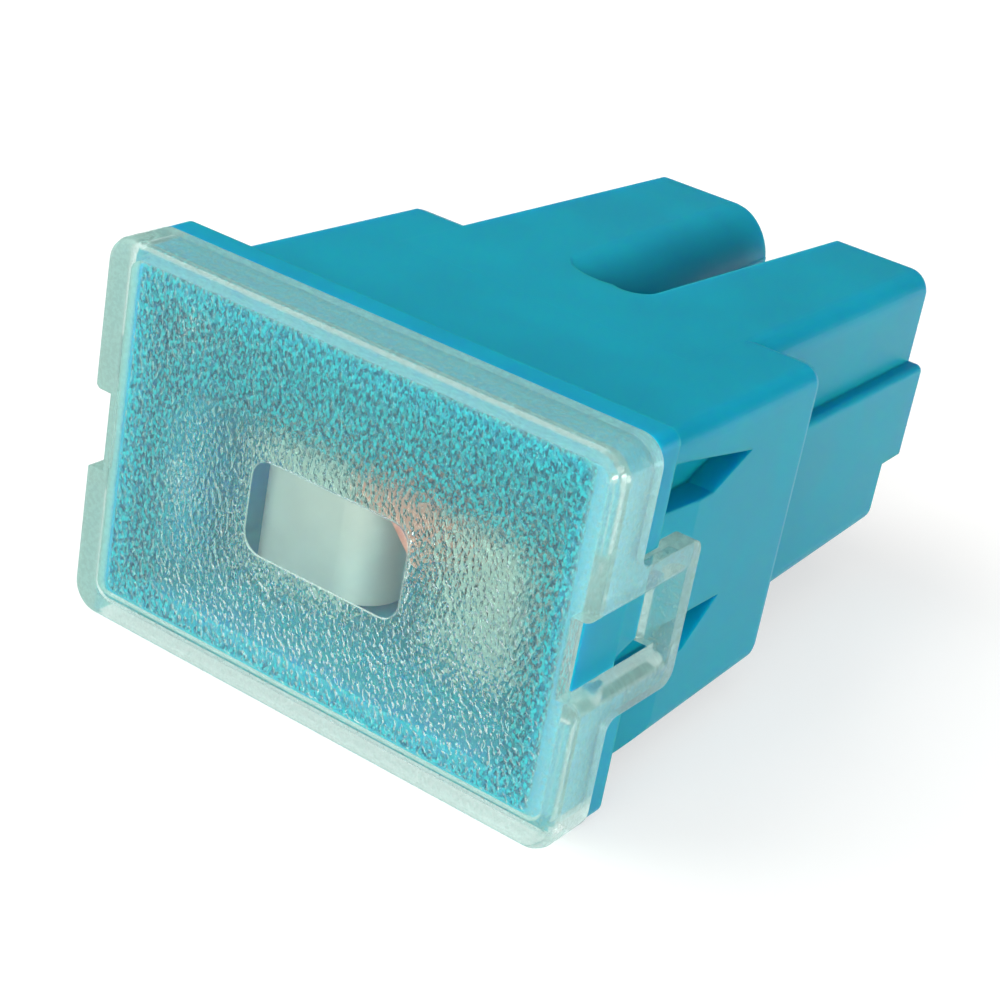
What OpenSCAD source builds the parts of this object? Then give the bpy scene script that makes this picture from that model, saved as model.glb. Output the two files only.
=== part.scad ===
// Female cartridge fuse (fusible link) that plugs over two blades: a moulded housing with two
// socket legs, a clear clip-fit cover, and a stamped fuse element between two blade receptacles.
// It lies on its broad side: X runs across the two legs, +Y is the way it plugs in, +Z is up.

/* [Cover] */
// Width of the clear cover, the widest part of the fuse
cover_w = 21.5; // [19:0.1:26]
// Height of the clear cover
cover_h = 14.6; // [13.6:0.1:18]
// Corner radius of the cover, seen from the front
cover_r = 1; // [0.7:0.1:1.5]
// Thickness of the cover's front plate
plate_t = 0.85; // [0.6:0.05:1.1]
// Depth of the cover's skirt, from its front face
skirt_d = 2.25; // [1.9:0.05:2.8]
// Wall of the skirt and of the latch loops
skirt_wall = 0.8; // [0.6:0.05:1]
// Rounding of the cover's front edge
cover_edge = 0.35; // [0.15:0.05:0.5]
// Width of the smooth window in the frosted plate
window_w = 6.8; // [4:0.1:9]
// Height of the smooth window
window_h = 3.6; // [2.5:0.1:6]

/* [Latch loops] */
// Reach of a latch loop, from the cover's front face
loop_reach = 6.15; // [5.6:0.05:7]
// Height of a latch loop
loop_h = 5.6; // [5:0.1:6.4]
// Height of each arm of a loop
arm_h = 1.3; // [0.9:0.05:1.5]
// Depth of the bar that closes a loop
bar_d = 0.7; // [0.5:0.05:1]
// Catch of the bar behind its lug
catch = 0.15; // [0.1:0.05:0.25]
// Rounding of a loop's outer edges beside its window
loop_edge = 0.45; // [0.2:0.05:0.6]
// Fillet between a loop and the skirt
loop_fillet = 0.5; // [0.2:0.05:0.8]

/* [Housing] */
// Thickness of the flange behind the cover
flange_t = 1.2; // [0.9:0.05:1.6]
// How far the flange stays inside the cover's outline at the sides
flange_inset = 0.25; // [0.1:0.05:0.6]
// Corner radius of the flange
flange_r = 0.5; // [0.3:0.05:1]
// Wall of the rim that the cover fits over
rim_wall = 1; // [0.7:0.05:1.3]
// Width of the box at the flange
box_w = 19.1; // [17.8:0.1:20]
// Length of the box behind the flange
box_l = 12.75; // [11:0.25:15]
// Height of the box's top above the fuse's axis, at the flange
box_top = 6.15; // [5.8:0.05:6.7]
// Depth of the box's bottom below the fuse's axis, at the flange
box_bottom = 6.6; // [6:0.05:6.8]
// Moulding draft on each long face of the box, over its length
box_draft = 0.3; // [0.1:0.05:0.5]
// Width of the cavity under the cover
cavity_w = 15.4; // [15:0.1:15.8]
// Height of the cavity under the cover
cavity_h = 10.4; // [10:0.1:10.8]
// Depth of the cavity behind the fuse link, from the cover's front face
cavity_d = 8.6; // [8:0.1:9.5]
// Depth of the shallower cavity above the link
shelf_d = 5.2; // [4.4:0.1:6]

/* [Legs] */
// Overall length of the fuse, from the cover's face to the leg ends
fuse_l = 30.8; // [27:0.1:37]
// Width over both legs above the ledge, at the box
leg_w = 14.1; // [13.6:0.1:14.8]
// How far the legs widen below the ledge, on each side
ledge = 0.65; // [0.4:0.05:0.9]
// Height of the ledge above the fuse's axis
ledge_z = 2.1; // [1.6:0.1:2.8]
// Height of the legs' top above the axis, at the box
leg_top = 5.95; // [5.6:0.05:6.1]
// Depth of the legs' bottom below the axis, at the box
leg_bottom = 5.75; // [5.3:0.05:6]
// Moulding draft on each long face of the legs, over their length
leg_draft = 0.45; // [0.2:0.05:0.55]
// How much shorter the lower end of each leg is
leg_step = 2; // [1:0.1:3]
// Width of the slot between the legs, at its closed end
slot_w = 2; // [1.6:0.1:2.2]
// Sideways offset of the slot from the middle
slot_x = 0.6; // [0.3:0.05:0.7]
// Widening of each side of the slot towards the leg ends
slot_flare = 0.6; // [0.2:0.05:0.7]
// Rounding of the left leg's upper edge beside the slot
slot_edge = 2.3; // [1.2:0.1:2.4]

/* [Receptacles] */
// Distance between the two blade receptacles
pitch = 8.85; // [8.8:0.05:8.9]
// Width of a leg's socket
socket_w = 3.05; // [2.9:0.05:3.1]
// Height of a leg's socket
socket_h = 6.2; // [5.6:0.1:6.4]
// Thickness of the stamped copper alloy
metal_t = 0.35; // [0.25:0.05:0.4]
// Slit between the curled lips of a receptacle
lip_gap = 2.2; // [1.5:0.1:3]
// Distance from the leg's end to the receptacle's mouth
mouth_back = 2.6; // [2.2:0.1:4]
// Thickness of the back-up spring in each receptacle
spring_t = 0.2; // [0.15:0.05:0.25]
// Height of the back-up spring
spring_h = 4.4; // [3:0.1:4.6]

/* [Fuse link] */
// Depth of the element's two flat heads, from the cover's front face
head_y = 4.9; // [4.4:0.1:5.6]
// Width of a head
head_w = 3.9; // [3.4:0.1:4.2]
// Height of the heads' top above the axis
head_top = 0.8; // [0.5:0.1:1.4]
// Depth of the heads' bottom below the axis
head_bottom = 4.9; // [4:0.1:5]
// Height of the narrow link between the heads
link_h = 1.4; // [1.1:0.1:1.5]
// Length of the slug clamped on the link
slug_l = 3.2; // [2.4:0.1:3.6]
// Thickness of the slug
slug_t = 0.95; // [0.8:0.05:1.2]

/* [Hidden] */
$fn = 64;
thin = 0.01;                                   // thickness of a loft's sections
past = 0.5;                                    // how far a cut runs past the face it opens
fit = 0.1;                                     // clearance between the cover and the housing
rim_x = cover_w / 2 - skirt_wall - fit;        // outer half width of the rim
rim_z = cover_h / 2 - skirt_wall - fit;        // outer half height of the rim
rim_y = plate_t + fit;                         // front of the rim
flange_y = skirt_d + fit;                      // front of the flange
box_y = flange_y + flange_t;                   // front of the box
box_end = box_y + box_l;
box_edge = 0.7;                                // rounding of the box's edges
leg_y = box_end - 4.6;                         // the legs' own surfaces start inside the box
leg_edge = 0.9;                                // rounding of the legs' outer edges
leg_end_edge = 0.35;                           // rounding round the leg ends
step_z = -2.4;                                 // below this height the legs are shorter
slot_y = box_end - 0.5;                        // closed end of the slot
slot_taper = atan(slot_flare / (fuse_l - slot_y - slot_w / 2));
leg_slope = leg_draft / (fuse_l - leg_y);      // fall of the legs' top per millimetre
window_at = [-0.2, -0.25];                     // middle of the smooth window
window_sink = 0.1;                             // how far it is sunk into the plate's inner face
socket_z = -1.7;                               // height of the sockets' middle
shelf_z = 1.3;                                 // underside of the shelf above the link
mouth_flare = 0.3;                             // lead-in round each socket's mouth
bar_y = loop_reach - bar_d;                    // front of a loop's bar
lug_end = bar_y - fit;                         // a lug's catch face, just in front of the bar
lug_h = loop_h - 2 * arm_h - 3 * fit;
lug_drop = 0.35;                               // fall of the lug from the rim to its catch face
relief_l = 5.65;                               // length of the sloped relief behind the flange
hook_x = rim_x - lug_drop - catch;             // inner face of a loop's bar
// the relief is deep enough at the flange for the loop's bar to clear it
relief_d = max(0.2, (box_w / 2 - hook_x + fit) * relief_l / (relief_l - loop_reach + box_y));
pocket_d = relief_d + 0.65;                    // depth of the two pointed pockets in each side
// how tall a loop's fillet still is where it passes the front of the flange
fillet_rise = loop_fillet - sqrt(pow(loop_fillet, 2) - pow(loop_fillet - fit, 2));
notch_z = loop_h / 2 + fillet_rise + fit;      // half height of the flange's notch for a loop
shell_w = socket_w - 0.3;                      // outside width of a receptacle
shell_h = socket_h - 0.4;                      // outside height of a receptacle
shell_y = cavity_d + 0.6;                      // front of a receptacle's box
mouth_y = fuse_l - mouth_back;                 // mouth of a receptacle
wing_r = 1.7;                                  // radius of the heads' inner bend
bend_r = 0.8;                                  // radius of the heads' two outer bends
bend_run = 1;                                  // straight run between those two bends
neck_inset = 0.7;                              // how far the neck's edges stay inside the head's
slug_clamp = 0.25;                             // rise of the slug above the link's upper edge
slug_tail = 1.3;                               // fall of the slug's tail below the link
slug_lean = 0.6;                               // how far the slug sits to the right of the middle

// Puts the fuse, modelled from the middle of its front face, over the row's origin.
module seat() {
    translate([0, -fuse_l / 2, cover_h / 2]) children();
}

// Extrudes an X-Z outline along the fuse, from y to y + l.
module along(y, l) {
    translate([0, y + l, 0]) rotate([90, 0, 0]) linear_extrude(l) children();
}

// Extrudes a Y-Z outline sideways, from x to x + l.
module across(x, l) {
    translate([x, 0, 0]) rotate([90, 0, 90]) linear_extrude(l) children();
}

// Extrudes an X-Y outline upwards, from z to z + l.
module upward(z, l) {
    translate([0, 0, z]) linear_extrude(l) children();
}

module rounded(w, h, r) {
    square([w - 2 * r, h], center = true);
    square([w, h - 2 * r], center = true);
    for (i = [-1, 1], k = [-1, 1])
        translate([i * (w / 2 - r), k * (h / 2 - r)]) circle(r);
}

// One section of a loft at depth y: x0 to x1, z0 to z1, drawn in by s, with corner radii r.
module section(y, x0, x1, z0, z1, s, r) {
    corners = [[x0, z0, 1, 1, r[0]], [x1, z0, -1, 1, r[1]], [x0, z1, 1, -1, r[2]], [x1, z1, -1, -1, r[3]]];
    for (c = corners)
        translate([c[0] + c[2] * (s + c[4]), y, c[1] + c[3] * (s + c[4])])
            rotate([90, 0, 0]) linear_extrude(thin) circle(c[4], $fn = 32);
}

// A drafted block from y0 to y1 that narrows by d on every long face, with its far edges rounded by e.
module loft(y0, y1, x0, x1, z0, z1, d, r, e, flat_bottom = false) {
    b = flat_bottom ? 0 : d;
    hull() {
        section(y0 + thin, x0, x1, z0, z1, 0, r);
        for (a = [0, 30, 60, 90])
            section(y1 - e * (1 - sin(a)), x0 + d, x1 - d, z0 + b, z1 - d, e * (1 - cos(a)), r);
    }
}

module mirrored() {
    children();
    mirror([1, 0, 0]) children();
}

// ---- Housing ----

module slot_outline() {
    r = slot_w / 2;
    translate([slot_x, slot_y + r]) circle(r);
    polygon([
        [slot_x - r, slot_y + r],
        [slot_x + r, slot_y + r],
        [slot_x + r + slot_flare, fuse_l],
        [slot_x + r + slot_flare, fuse_l + past],
        [slot_x - r - slot_flare, fuse_l + past],
        [slot_x - r - slot_flare, fuse_l],
    ]);
}

// The slot's upper part: a wider round end, and the left leg's upper edge rounded off along it.
module slot_top() {
    r = (slot_w + slot_edge) / 2;
    wall = slot_x - slot_w / 2;
    centre = [slot_x + slot_w / 2 - r, slot_y + r];
    start = slot_y - past;
    top = leg_top - leg_slope * (start - leg_y);
    far = wall - slot_edge - slot_flare - past;
    intersection() {
        upward(top - slot_edge, cover_h) {
            translate(centre) circle(r);
            translate([far, centre[1]]) square([slot_x - far, fuse_l]);
        }
        // the rounding's axis follows the slot's wall and the fall of the legs' top
        translate([wall - slot_edge + tan(slot_taper) * (slot_w / 2 + past), start, top - slot_edge])
            rotate([-atan(leg_slope), 0, slot_taper])
                along(0, fuse_l) difference() {
                    square([2 * r + slot_flare, slot_edge + 1]);
                    circle(slot_edge);
                }
    }
}

module socket() {
    translate([pitch / 2, 0, socket_z]) {
        along(cavity_d - past, fuse_l) square([socket_w, socket_h], center = true);
        hull() {
            along(fuse_l - 1, thin) square([socket_w, socket_h], center = true);
            along(fuse_l + thin, thin) square([socket_w, socket_h] + 2 * mouth_flare * [1, 1], center = true);
        }
    }
}

// Sloped relief and two pointed pockets in one side of the box, behind the flange.
module side_relief() {
    x = box_w / 2;
    upward(-box_bottom - past, box_bottom + past + loop_h / 2 + 2 * fit)
        polygon([[x - relief_d, box_y], [x + 1, box_y], [x + 1, box_y + relief_l], [x, box_y + relief_l]]);
    low = loop_h / 2 + 2 * fit;
    under = -lug_h / 2;
    across(x - pocket_d, pocket_d + 1)
        polygon([[box_y, low], [box_y, low + 2.5], [box_y + 7.8, low + 0.95], [box_y + 5.4, low]]);
    across(x - pocket_d, pocket_d + 1)
        polygon([[box_y, under - 1.9], [box_y, under],
                 [box_y + 7.75, under - 0.4], [box_y + 5.7, under - 1.9]]);
}

// The wedge on each side that a latch loop snaps over.
module lug() {
    upward(-lug_h / 2, lug_h)
        polygon([[box_w / 2 - pocket_d, flange_y], [rim_x, flange_y], [rim_x, box_y - 0.25],
                 [rim_x - lug_drop, lug_end], [box_w / 2 - pocket_d, lug_end]]);
}

module housing() {
    color([0.07, 0.58, 0.71]) seat() {
        difference() {
            union() {
                along(rim_y, flange_y - rim_y) rounded(2 * rim_x, 2 * rim_z, cover_r - 0.6);
                along(flange_y, flange_t)
                    rounded(cover_w - 2 * flange_inset, cover_h - 2 * fit, flange_r);
                loft(box_y - 0.2, box_end, -box_w / 2, box_w / 2, -box_bottom, box_top,
                     box_draft, box_edge * [1, 1, 0.5, 1], 0.6);
                loft(leg_y, fuse_l, -leg_w / 2, leg_w / 2, ledge_z - 1, leg_top,
                     leg_draft, leg_edge * [0.2, 0.2, 0.2, 1], leg_end_edge, true);
                loft(leg_y, fuse_l, -leg_w / 2 - ledge, leg_w / 2 + ledge, -leg_bottom, ledge_z,
                     leg_draft, leg_edge * [1, 1, 0.3, 0.3], leg_end_edge);
            }
            along(rim_y - past, box_y - rim_y + past)
                rounded(2 * (rim_x - rim_wall), 2 * (rim_z - rim_wall), cover_r - 0.9);
            along(rim_y, shelf_d - rim_y) rounded(cavity_w, cavity_h, 0.4);
            translate([0, 0, (shelf_z - cavity_h / 2) / 2])
                along(rim_y, cavity_d - rim_y) rounded(cavity_w, shelf_z + cavity_h / 2, 0.4);
            upward(-cover_h, 2 * cover_h) slot_outline();
            slot_top();
            mirrored() socket();
            mirrored() side_relief();
            mirrored() across(rim_x, cover_w)
                translate([flange_y - past, -notch_z]) square([flange_t + 2 * past, 2 * notch_z]);
            translate([-cover_w / 2, fuse_l - leg_step, -cover_h])
                cube([cover_w, leg_step + past, cover_h + step_z]);
        }
        mirrored() lug();
    }
}

// ---- Cover ----

// A latch loop in the Y-Z plane: two arms and a bar round a window.
module loop_outline() {
    r = 0.6;
    difference() {
        union() {
            translate([0, -loop_h / 2]) square([loop_reach - r, loop_h]);
            translate([0, -loop_h / 2 + r]) square([loop_reach, loop_h - 2 * r]);
            for (k = [-1, 1]) translate([loop_reach - r, k * (loop_h / 2 - r)]) circle(r);
        }
        loop_window();
    }
    for (k = [-1, 1]) translate([skirt_d, k * loop_h / 2]) scale([1, k]) difference() {
        square(loop_fillet);
        translate([loop_fillet, loop_fillet]) circle(loop_fillet);
    }
}

// The two corner slivers that round a loop's edges off along its window, seen from the front.
module loop_edges() {
    h = loop_h - 2 * arm_h;
    for (k = [-1, 1]) translate([cover_w / 2 - loop_edge, k * (h / 2 + loop_edge)]) scale([1, k]) difference() {
        translate([0, -loop_edge - past]) square([loop_edge + past, loop_edge + past]);
        circle(loop_edge);
    }
}

// The window runs out through the edge of the front plate, where the mould's core stood.
module loop_window() {
    h = loop_h - 2 * arm_h;
    translate([-past, -h / 2]) square([bar_y + past, h]);
}

module cover() {
    inner_w = cover_w - 2 * skirt_wall;
    inner_h = cover_h - 2 * skirt_wall;
    wall_x = cover_w / 2 - skirt_wall;
    color([0.75, 0.93, 0.93, 0.45]) seat() {
        difference() {
            union() {
                hull() {
                    for (a = [0, 30, 60, 90])
                        section(cover_edge * (1 - sin(a)) + thin, -cover_w / 2, cover_w / 2, -cover_h / 2,
                                cover_h / 2, cover_edge * (1 - cos(a)), cover_r * [1, 1, 1, 1]);
                    section(plate_t, -cover_w / 2, cover_w / 2, -cover_h / 2, cover_h / 2, 0,
                            cover_r * [1, 1, 1, 1]);
                }
                along(plate_t - thin, skirt_d - plate_t + thin) rounded(cover_w, cover_h, cover_r);
            }
            along(plate_t, skirt_d) rounded(inner_w, inner_h, cover_r - 0.5);
            translate([window_at[0], 0, window_at[1]])
                along(plate_t - window_sink, skirt_d) rounded(window_w, window_h, 0.8);
            mirrored() across(rim_x, skirt_wall + 1) loop_window();
            mirrored() along(-past, skirt_d + 2 * past) loop_edges();
        }
        mirrored() difference() {
            across(wall_x, skirt_wall) difference() {
                loop_outline();
                translate([-1, -cover_h / 2]) square([skirt_d + 1 - thin, cover_h]);
            }
            along(skirt_d - past, bar_y - skirt_d + past) loop_edges();
        }
        mirrored() upward(-loop_h / 2 + arm_h, loop_h - 2 * arm_h)
            polygon([[hook_x, loop_reach - 0.3], [hook_x, bar_y], [wall_x + thin, bar_y],
                     [wall_x + thin, loop_reach], [hook_x + 0.2, loop_reach]]);
    }
}

// ---- Fuse element ----

// A quarter bend of the strip, in plan: outer radius r round the point [x, y], in the given quadrant.
module bend(x, y, r, i, k) {
    translate([x, y]) difference() {
        intersection() {
            circle(r);
            translate([i > 0 ? 0 : -r, k > 0 ? 0 : -r]) square(r);
        }
        circle(r - metal_t);
    }
}

// One head seen from above: the flat, its outer bend and the leg that runs back to the receptacle.
module head_outline() {
    x0 = pitch / 2 - head_w / 2;
    x1 = pitch / 2 + head_w / 2;
    translate([x0, head_y]) square([head_w - bend_r, metal_t]);
    bend(x1 - bend_r, head_y + bend_r, bend_r, 1, -1);
    translate([x1 - metal_t, head_y + bend_r]) square([metal_t, bend_run]);
    bend(x1 - bend_r, head_y + bend_r + bend_run, bend_r, 1, 1);
}

// Below the link, the left head bends back towards the middle of the fuse in a wide curve.
module wing_outline() {
    x0 = pitch / 2 - head_w / 2;
    bend(x0, head_y + wing_r, wing_r, -1, -1);
    translate([x0 - wing_r, head_y + wing_r]) square([metal_t, 0.8]);
}

// Cross-section of a receptacle: a box whose two lips curl in on the side that faces the slot.
module shell_outline() {
    difference() {
        square([shell_w, shell_h], center = true);
        square([shell_w - 2 * metal_t, shell_h - 2 * metal_t], center = true);
        translate([-shell_w / 2, 0]) square([shell_w, lip_gap], center = true);
    }
}

module receptacle() {
    neck_h = head_top + head_bottom - 2 * neck_inset;
    x1 = pitch / 2 + head_w / 2;
    neck_x = pitch / 2 + shell_w / 2 - metal_t;
    neck_y = head_y + 2 * bend_r + bend_run - metal_t;
    upward(-head_bottom, head_top + head_bottom) head_outline();
    // the strip runs on from the head's second bend, back to the receptacle's outer wall
    upward(-head_bottom + neck_inset, neck_h) translate([neck_x, neck_y]) {
        square([x1 - bend_r - neck_x + thin, metal_t]);
        square([metal_t, shell_y - neck_y + 1]);
    }
    translate([pitch / 2, 0, socket_z]) along(shell_y, mouth_y - shell_y) shell_outline();
}

module link() {
    x0 = pitch / 2 - head_w / 2;
    translate([-x0 - thin, head_y, head_top - link_h]) cube([2 * (x0 + thin), metal_t, link_h]);
}

module fuse_element() {
    color([0.72, 0.76, 0.74]) seat() {
        mirrored() receptacle();
        mirror([1, 0, 0]) upward(-head_bottom, head_bottom + head_top - link_h - 0.3) wing_outline();
        link();
    }
}

// The slug is clamped round the link, and narrows to a tail below it.
module tin_slug() {
    mid_y = head_y + metal_t / 2;
    x0 = -slug_l / 2 + slug_lean;
    x1 = x0 + slug_l;
    under = head_top - link_h;
    color([0.78, 0.60, 0.57]) seat() difference() {
        along(mid_y - slug_t / 2, slug_t)
            polygon([[x0, head_top + slug_clamp], [x1, head_top + slug_clamp], [x1, under + 0.3],
                     [x1 - 0.6, under - slug_tail], [x1 - 1.4, under - slug_tail + 0.1], [x0, head_top - 0.7]]);
        translate([-cover_w / 2, head_y, under]) cube([cover_w, metal_t, link_h]);
        mirrored() upward(-head_bottom, head_bottom + head_top) head_outline();
    }
}

// A bowed leaf along the receptacle's outer wall, which presses the blade against the lips.
module contact_spring() {
    bow = 0.55;
    half = (mouth_y - shell_y) / 2 - 1.5;
    r = (half * half + bow * bow) / (2 * bow);
    wall = pitch / 2 + shell_w / 2 - metal_t;
    centre = [wall - spring_t - bow + r, (mouth_y + shell_y) / 2];
    upward(socket_z - spring_h / 2, spring_h) intersection() {
        difference() {
            translate(centre) circle(r, $fn = 720);
            translate(centre) circle(r - spring_t, $fn = 720);
        }
        translate([wall - 2 * bow, centre[1] - half]) square([2 * bow, 2 * half]);
    }
}

module contact_spring_left() {
    color([0.62, 0.64, 0.66]) seat() mirror([1, 0, 0]) contact_spring();
}

module contact_spring_right() {
    color([0.62, 0.64, 0.66]) seat() contact_spring();
}

housing();
cover();
fuse_element();
tin_slug();
contact_spring_left();
contact_spring_right();
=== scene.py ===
"""A female cartridge fuse lying on its broad side: light blue moulded housing, clear cover
with a frosted front plate, and a tinned fuse element that shows through the cover.
Everything is in metres in the part's own frame: X across the legs, +Y towards the leg
ends, Z up, with the floor at zero."""

import bpy
import numpy as np
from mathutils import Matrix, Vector

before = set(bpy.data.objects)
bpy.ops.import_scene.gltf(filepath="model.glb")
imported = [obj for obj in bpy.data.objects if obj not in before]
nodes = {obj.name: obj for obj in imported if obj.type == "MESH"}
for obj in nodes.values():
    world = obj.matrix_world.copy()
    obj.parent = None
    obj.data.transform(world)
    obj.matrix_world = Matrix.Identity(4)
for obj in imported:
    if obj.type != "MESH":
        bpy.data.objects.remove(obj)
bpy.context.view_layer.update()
scene = bpy.context.scene
scene.view_settings.view_transform = "Standard"


# ---------------------------------------------------------------------------------------
# Moulded housing
# One injection moulding in light blue nylon. The mould is finely eroded, so broad faces
# are satin with a very fine grain, and every edge has a small radius.
# ---------------------------------------------------------------------------------------

def new_material(name):
    """A new node material: returns it with its node tree emptied but for the output."""
    material = bpy.data.materials.new(name)
    material.use_nodes = True
    tree = material.node_tree
    tree.nodes.clear()
    out = tree.nodes.new("ShaderNodeOutputMaterial")
    return material, tree, out


def put(tree, socket, value):
    """Links value to a socket where it is an output of another node, and sets it otherwise."""
    if isinstance(value, bpy.types.NodeSocket):
        tree.links.new(value, socket)
    else:
        socket.default_value = value


def add(tree, kind, values=None, **settings):
    """Adds a shader node, sets its attributes, then its sockets by name or number."""
    node = tree.nodes.new(kind)
    for key, value in settings.items():
        setattr(node, key, value)
    for key, value in (values or {}).items():
        put(tree, node.inputs[key], value)
    return node


def calc(tree, operation, a, b=0.0):
    """One sum on two numbers, such as MULTIPLY for a times b, or MAXIMUM for the larger."""
    return add(tree, "ShaderNodeMath", {0: a, 1: b}, operation=operation).outputs[0]


def place(tree):
    """The point on the piece, in metres, from its Object coordinates."""
    return add(tree, "ShaderNodeTexCoord").outputs["Object"]


def noise(tree, point, scale, detail=2.0, roughness=0.5, dimensions="3D"):
    """Noise of the given number of cells per metre."""
    node = add(tree, "ShaderNodeTexNoise", {"Vector": point, "Scale": scale, "Detail": detail,
                                            "Roughness": roughness}, noise_dimensions=dimensions)
    return node.outputs["Fac"]


def span(tree, value, low, high, to_low=0.0, to_high=1.0, smooth=True):
    """Takes value from low..high to to_low..to_high, held flat beyond both ends."""
    node = add(tree, "ShaderNodeMapRange", {"Value": value, "From Min": low, "From Max": high,
                                            "To Min": to_low, "To Max": to_high},
               interpolation_type="SMOOTHSTEP" if smooth else "LINEAR")
    return node.outputs["Result"]


def blend_colour(tree, factor, a, b):
    """Colour a where factor is 0, colour b where it is 1."""
    node = add(tree, "ShaderNodeMix", {"Factor": factor, 6: a, 7: b}, data_type="RGBA")
    return node.outputs[2]


def blend_shader(tree, factor, a, b):
    """Shader a where factor is 0, shader b where it is 1."""
    return add(tree, "ShaderNodeMixShader", {0: factor, 1: a, 2: b}).outputs[0]


def worn_normal(tree, height, strength, depth, edge_radius):
    """Normal of a surface with rounded edges and a relief of the given height and depth."""
    edge = add(tree, "ShaderNodeBevel", {"Radius": edge_radius}, samples=2)
    bump = add(tree, "ShaderNodeBump", {"Height": height, "Strength": strength, "Distance": depth,
                                        "Normal": edge.outputs["Normal"]})
    return bump.outputs["Normal"]


def dress(node_name, material):
    """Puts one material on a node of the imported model."""
    slots = nodes[node_name].data.materials
    slots.clear()
    slots.append(material)


housing_blue, tree, out = new_material("housing_blue_nylon")
point = place(tree)
cloud = noise(tree, point, 260.0, 3.0)
grain = noise(tree, point, 9000.0, 3.0, 0.6)
shader = add(tree, "ShaderNodeBsdfPrincipled", {
    "Base Color": blend_colour(tree, span(tree, cloud, 0.3, 0.7),
                               (0.0008, 0.305, 0.44, 1), (0.0012, 0.335, 0.465, 1)),
    "Roughness": span(tree, cloud, 0.25, 0.75, 0.34, 0.42),
    "IOR": 1.5, "Specular IOR Level": 0.14,
    "Subsurface Weight": 0.8, "Subsurface Scale": 0.0024, "Subsurface Radius": (0.02, 0.35, 1.0),
    "Normal": worn_normal(tree, grain, 0.2, 0.000012, 0.00016)})
tree.links.new(shader.outputs["BSDF"], out.inputs["Surface"])
dress("housing", housing_blue)


# ---------------------------------------------------------------------------------------
# Clear cover
# Clear moulded polycarbonate, held over the housing's rim by its two side loops. The inner
# face of the front plate is spark-eroded to a pebbled frost, but for a smooth border and a
# smooth window over the link.
# ---------------------------------------------------------------------------------------

plate_back = -0.0154 + 0.00085                              # Y of the front plate's inner face
frost_low, frost_high = np.array([-0.0095, 0.0010]), np.array([0.0095, 0.0139])
frost_corner = 0.0004
window_mid, window_half = np.array([-0.0002, 0.00705]), np.array([0.0034, 0.0018])
window_corner = 0.0008
clear_mid, clear_half = np.array([0.0004, 0.0058]), np.array([0.0070, 0.0036])
clear_corner = 0.0012                                       # the thinner frost over the two heads
mean_relief = 0.95                                          # so that the frost has no step at its edge


def rounded_box(tree, across, up, middle, half, corner):
    """Signed distance in metres to a rounded rectangle in the X-Z plane, negative inside:
    the length of max(|p - middle| - half + corner, 0), less the corner's radius."""
    def beyond(value, mid, reach):
        size = calc(tree, "ABSOLUTE", calc(tree, "SUBTRACT", value, mid))
        return calc(tree, "MAXIMUM", calc(tree, "SUBTRACT", size, reach), 0.0)
    pair = add(tree, "ShaderNodeCombineXYZ", {"X": beyond(across, middle[0], half[0] - corner),
                                              "Y": beyond(up, middle[1], half[1] - corner)})
    length = add(tree, "ShaderNodeVectorMath", {0: pair.outputs[0]}, operation="LENGTH")
    return calc(tree, "SUBTRACT", length.outputs["Value"], corner)


cover_clear, tree, out = new_material("cover_clear_polycarbonate")
point = place(tree)
x, y, z = add(tree, "ShaderNodeSeparateXYZ", {0: point}).outputs

# where the frost is: on the plate's inner face, inside its outline and outside the window
from_frost = rounded_box(tree, x, z, (frost_low + frost_high) / 2, (frost_high - frost_low) / 2, frost_corner)
from_window = rounded_box(tree, x, z, window_mid, window_half, window_corner)
frost = calc(tree, "MULTIPLY", span(tree, from_frost, -0.00012, 0.0, 1.0, 0.0),
             span(tree, from_window, -0.00002, 0.00004))
frost = calc(tree, "MULTIPLY", frost, span(tree, y, plate_back - 0.00006, plate_back - 0.00003))
frost = calc(tree, "MULTIPLY", frost, span(tree, y, plate_back + 0.00004, plate_back + 0.00008, 1.0, 0.0))

# its pebbled relief, drawn out a little along one slant
flat = add(tree, "ShaderNodeCombineXYZ", {"X": x, "Y": z}).outputs[0]
flat = add(tree, "ShaderNodeMapping", {"Vector": flat, "Rotation": (0, 0, 0.45),
                                       "Scale": (1.25, 0.82, 1.0)}).outputs[0]
pebble = add(tree, "ShaderNodeTexVoronoi", {"Vector": flat, "Scale": 4300.0, "Randomness": 1.0},
             feature="F1", voronoi_dimensions="2D").outputs["Distance"]
sand = noise(tree, flat, 5200.0, 1.5, 0.6, "2D")
height = calc(tree, "SUBTRACT", calc(tree, "ADD", pebble, sand), mean_relief)
normal = worn_normal(tree, calc(tree, "MULTIPLY", height, frost), 1.0, 0.00006, 0.00010)

# the milky share: a slight haze in the skirt, the loops and the plate's border, thicker along
# the border's left and lower sides, and specks in the frost, fewer over the heads
behind_plate = span(tree, y, plate_back + 0.00006, plate_back + 0.00012)
on_plate = span(tree, y, plate_back + 0.00006, plate_back + 0.00012, 1.0, 0.0)
hazy = calc(tree, "MAXIMUM", span(tree, from_frost, -0.0001, 0.0002), behind_plate)
thick = calc(tree, "MAXIMUM", span(tree, x, -0.0097, -0.0094, 0.60, 0.0), span(tree, z, 0.0008, 0.0011, 0.24, 0.0))
cloudy = calc(tree, "ADD", span(tree, noise(tree, point, 5200.0, 2.0, 0.6), 0.40, 0.62, 0.24, 0.36),
              calc(tree, "MULTIPLY", thick, on_plate))
from_heads = rounded_box(tree, x, z, clear_mid, clear_half, clear_corner)
speck = calc(tree, "MULTIPLY", span(tree, pebble, 0.15, 0.60, 1.0, 0.50),
             span(tree, from_heads, -0.0002, 0.0014, 0.09, 0.80))
milkiness = calc(tree, "MAXIMUM", calc(tree, "MULTIPLY", hazy, cloudy), calc(tree, "MULTIPLY", speck, frost))

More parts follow.
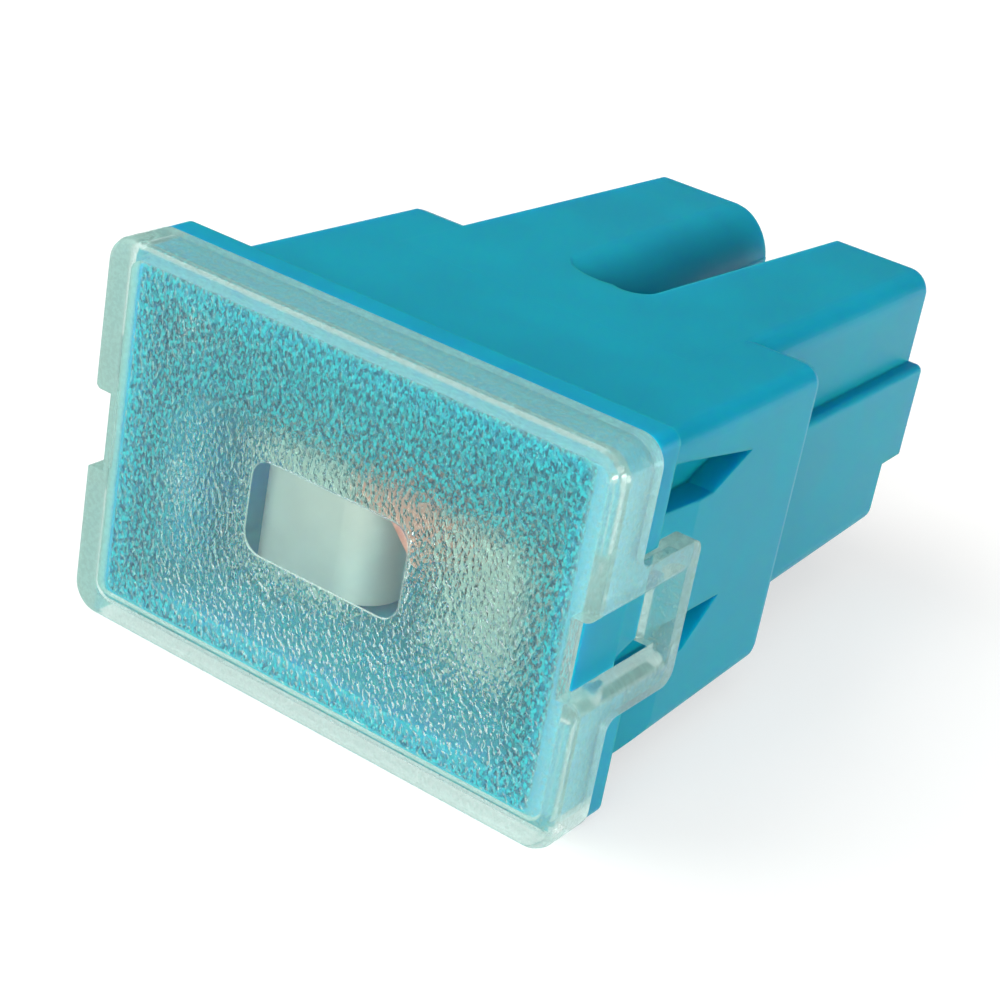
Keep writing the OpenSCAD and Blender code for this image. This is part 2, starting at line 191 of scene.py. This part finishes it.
glassy = add(tree, "ShaderNodeBsdfPrincipled", {
    "Base Color": blend_colour(tree, frost, (0.80, 0.92, 0.89, 1), (0.54, 0.90, 0.78, 1)),
    "Roughness": span(tree, frost, 0.0, 1.0, 0.015, 0.06, False),
    "IOR": 1.49, "Specular IOR Level": 0.18, "Transmission Weight": 1.0, "Normal": normal})
# the frost specks' colour runs at random from dark teal to whitish teal: painted highlight and painted shade that
# stand in for the lit and shaded sides of the frost's grains, on the real milky specks; the milk colour and the
# milky shader below carry this painted shading, beside the real haze tint of the skirt, loops and border
speck_painted_shading = blend_colour(tree, span(tree, sand, 0.40, 0.60), (0.001, 0.10, 0.15, 1), (0.03, 0.60, 0.62, 1))
milk_and_painted_shading = blend_colour(tree, frost, (0.44, 0.64, 0.60, 1), speck_painted_shading)
front = add(tree, "ShaderNodeBsdfPrincipled", {
    "Base Color": milk_and_painted_shading, "Roughness": 0.25, "IOR": 1.49, "Specular IOR Level": 0.2, "Normal": normal})
through = add(tree, "ShaderNodeBsdfTranslucent", {"Color": milk_and_painted_shading})
milky = blend_shader(tree, 0.5, front.outputs[0], through.outputs[0])
plastic = blend_shader(tree, milkiness, glassy.outputs[0], milky)
# lamps shine through the cover without bending, so that the parts inside stay lit
clear = add(tree, "ShaderNodeBsdfTransparent", {"Color": (0.86, 0.97, 0.96, 1)})
is_shadow = add(tree, "ShaderNodeLightPath").outputs["Is Shadow Ray"]
tree.links.new(blend_shader(tree, is_shadow, plastic, clear.outputs[0]), out.inputs["Surface"])
dress("cover", cover_clear)


# ---------------------------------------------------------------------------------------
# Fuse element
# Copper alloy strip, stamped and bent in one piece and dull tin plated: two flat heads, the
# narrow link between them, and a blade receptacle behind each head inside the legs.
# ---------------------------------------------------------------------------------------

tinned, tree, out = new_material("dull_tin_plate")
point = place(tree)
stretched = add(tree, "ShaderNodeMapping", {"Vector": point, "Scale": (1.0, 1.0, 6.0)}).outputs[0]
rolled = noise(tree, stretched, 1500.0, 4.0, 0.6)
cloud = noise(tree, point, 420.0, 3.0)
shader = add(tree, "ShaderNodeBsdfPrincipled", {
    "Base Color": blend_colour(tree, span(tree, cloud, 0.3, 0.7), (0.50, 0.44, 0.42, 1), (0.57, 0.51, 0.485, 1)),
    "Metallic": 0.55, "Roughness": span(tree, rolled, 0.2, 0.8, 0.38, 0.52),
    "Normal": worn_normal(tree, rolled, 0.25, 0.00002, 0.00006)})
tree.links.new(shader.outputs["BSDF"], out.inputs["Surface"])
dress("fuse_element", tinned)


# ---------------------------------------------------------------------------------------
# Slug on the link
# A small copper-coloured slug clamped round the link. It melts into the link under a
# lasting overload, which gives the fuse its slow blow.
# ---------------------------------------------------------------------------------------

slug_copper, tree, out = new_material("slug_copper")
cloud = noise(tree, place(tree), 900.0, 4.0, 0.6)
shader = add(tree, "ShaderNodeBsdfPrincipled", {
    "Base Color": blend_colour(tree, span(tree, cloud, 0.3, 0.7), (0.66, 0.19, 0.15, 1), (0.90, 0.37, 0.31, 1)),
    "Metallic": 0.7, "Roughness": span(tree, cloud, 0.3, 0.7, 0.35, 0.55),
    "Normal": worn_normal(tree, cloud, 0.4, 0.00005, 0.00008)})
tree.links.new(shader.outputs["BSDF"], out.inputs["Surface"])
dress("tin_slug", slug_copper)


# ---------------------------------------------------------------------------------------
# Contact springs
# One bowed leaf of stainless strip along the outer wall of each receptacle, which presses
# the blade against the curled lips. They show only through the leg ends.
# ---------------------------------------------------------------------------------------

spring_steel, tree, out = new_material("spring_steel")
drawn = add(tree, "ShaderNodeMapping", {"Vector": place(tree), "Scale": (1.0, 0.15, 1.0)}).outputs[0]
lines = noise(tree, drawn, 9000.0, 3.0, 0.6)
shader = add(tree, "ShaderNodeBsdfPrincipled", {
    "Base Color": blend_colour(tree, lines, (0.46, 0.47, 0.48, 1), (0.60, 0.61, 0.62, 1)),
    "Metallic": 1.0, "Roughness": span(tree, lines, 0.3, 0.7, 0.22, 0.36)})
tree.links.new(shader.outputs["BSDF"], out.inputs["Surface"])
for side in ("left", "right"):
    dress("contact_spring_" + side, spring_steel)


# ---------------------------------------------------------------------------------------
# Floor
# A plain white sheet that the fuse lies on, swept far past the view on every side. It keeps
# the fuse's shadow nearby, and turns to even white further off.
# ---------------------------------------------------------------------------------------

reach = 1.5
floor_mesh = bpy.data.meshes.new("floor")
floor_mesh.from_pydata([(-reach, -reach, 0), (reach, -reach, 0), (reach, reach, 0), (-reach, reach, 0)],
                       [], [(0, 1, 2, 3)])
floor = bpy.data.objects.new("floor", floor_mesh)
scene.collection.objects.link(floor)
floor_white, tree, out = new_material("floor_white")
paper = add(tree, "ShaderNodeBsdfDiffuse", {"Color": (0.46, 0.46, 0.46, 1)})
away = add(tree, "ShaderNodeVectorMath", {0: place(tree)}, operation="LENGTH").outputs["Value"]
glow = add(tree, "ShaderNodeEmission", {"Color": (1, 1, 1, 1), "Strength": span(tree, away, 0.04, 0.10, 0.62, 1.0)})
none = add(tree, "ShaderNodeEmission", {"Strength": 0.0})
path = add(tree, "ShaderNodeLightPath").outputs
seen = calc(tree, "MAXIMUM", path["Is Camera Ray"], path["Is Glossy Ray"])
seen = calc(tree, "MAXIMUM", seen, path["Is Transmission Ray"])
extra = blend_shader(tree, seen, none.outputs[0], glow.outputs[0])
both = add(tree, "ShaderNodeAddShader", {0: paper.outputs[0], 1: extra})
tree.links.new(both.outputs[0], out.inputs["Surface"])
floor_mesh.materials.append(floor_white)


# ---------------------------------------------------------------------------------------
# Light and camera
# A white tent with broad soft lamps in front and above left, a low strip lamp on the right,
# and a long lens from the front right, above.
# ---------------------------------------------------------------------------------------

world = bpy.data.worlds.new("tent")
scene.world = world
world.use_nodes = True
tree = world.node_tree
tree.nodes.clear()
up = add(tree, "ShaderNodeSeparateXYZ", {0: add(tree, "ShaderNodeTexCoord").outputs["Generated"]}).outputs["Z"]
tent = add(tree, "ShaderNodeBackground", {"Color": (1, 1, 1, 1), "Strength": span(tree, up, 0.35, 0.95, 0.16, 0.50)})
white = add(tree, "ShaderNodeBackground", {"Color": (1, 1, 1, 1), "Strength": 1.0})
is_camera = add(tree, "ShaderNodeLightPath").outputs["Is Camera Ray"]
pick = blend_shader(tree, is_camera, tent.outputs[0], white.outputs[0])
tree.links.new(pick, add(tree, "ShaderNodeOutputWorld").inputs["Surface"])


def soft_lamp(name, middle, aim, width, height, watts):
    """A rectangular lamp at middle, turned to face aim."""
    lamp = bpy.data.lights.new(name, "AREA")
    lamp.shape, lamp.size, lamp.size_y, lamp.energy = "RECTANGLE", width, height, watts
    lamp.color = (1.0, 0.985, 0.93)
    stand = bpy.data.objects.new(name, lamp)
    scene.collection.objects.link(stand)
    stand.location = middle
    stand.rotation_euler = (Vector(aim) - Vector(middle)).to_track_quat("-Z", "Y").to_euler()


soft_lamp("front_lamp", (0.055, -0.225, 0.055), (0, 0, 0.006), 0.20, 0.10, 0.46)
soft_lamp("right_lamp", (0.12, 0.035, 0.012), (0.007, 0.005, 0.006), 0.12, 0.018, 0.08)
soft_lamp("top_lamp", (-0.14, -0.07, 0.20), (0, 0, 0.006), 0.20, 0.20, 0.53)

lens = bpy.data.cameras.new("camera")
lens.sensor_width, lens.lens = 36.0, 85.0
lens.clip_start, lens.clip_end = 0.001, 10.0
camera = bpy.data.objects.new("camera", lens)
scene.collection.objects.link(camera)
camera.location = (0.040744, -0.072747, 0.043001)
camera.rotation_euler = (1.123257, -0.167631, 0.617879)
scene.camera = camera
